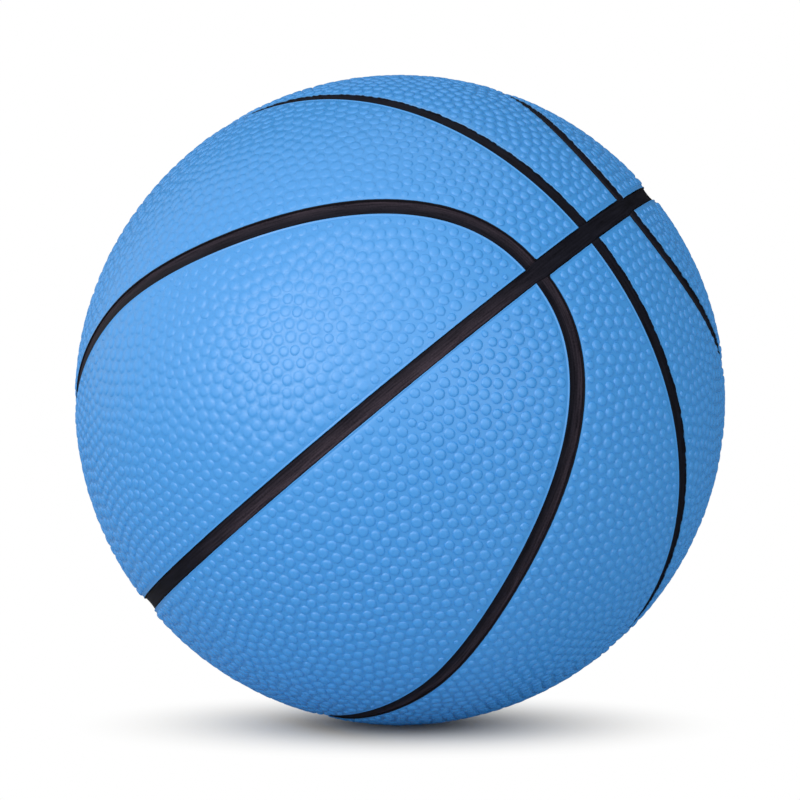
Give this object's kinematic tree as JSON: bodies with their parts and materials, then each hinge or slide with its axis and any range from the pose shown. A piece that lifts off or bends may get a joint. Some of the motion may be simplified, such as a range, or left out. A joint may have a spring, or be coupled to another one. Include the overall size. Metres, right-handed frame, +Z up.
{
  "type": "basketball",
  "caption": "Small rubber basketball: pebbled cover panels and recessed seam strips over a carcass, thread winding and air bladder, with a needle valve whose plug pulls out.",
  "frame": {"origin": "centre of the ball", "axes": "+Z up and -Y toward the viewer, with the ball turned as it lies in the picture: the straight seam runs from lower left to upper right"},
  "size_m": [0.13, 0.13, 0.1298],
  "materials": {
    "cover_rubber": "satin",
    "seam_rubber": "satin",
    "carcass_rubber": "matte",
    "nylon_thread": "matte",
    "butyl_rubber": "matte",
    "valve_rubber": "satin",
    "plug_rubber": "satin"
  },
  "bodies": {
    "ball": {"left_upper_side_panel": "cover_rubber", "right_upper_side_panel": "cover_rubber", "left_lower_side_panel": "cover_rubber", "right_lower_side_panel": "cover_rubber", "left_upper_centre_panel": "cover_rubber", "right_upper_centre_panel": "cover_rubber", "left_lower_centre_panel": "cover_rubber", "right_lower_centre_panel": "cover_rubber", "left_upper_loop_seam_strip": "seam_rubber", "right_upper_loop_seam_strip": "seam_rubber", "left_lower_loop_seam_strip": "seam_rubber", "right_lower_loop_seam_strip": "seam_rubber", "upper_meridian_seam_strip": "seam_rubber", "lower_meridian_seam_strip": "seam_rubber", "equator_seam_strip": "seam_rubber", "carcass_valve_half": "carcass_rubber", "carcass_far_half": "carcass_rubber", "thread_winding": "nylon_thread", "air_bladder": "butyl_rubber", "valve_body": "valve_rubber"},
    "valve_plug": {"valve_plug": "plug_rubber"}
  },
  "joints": [
    {"name": "valve_plug_pull", "type": "slide", "parent": "ball", "child": "valve_plug", "axis": [-0.6412, 0.7511, -0.157], "range_m": [0, 0.016]}
  ]
}
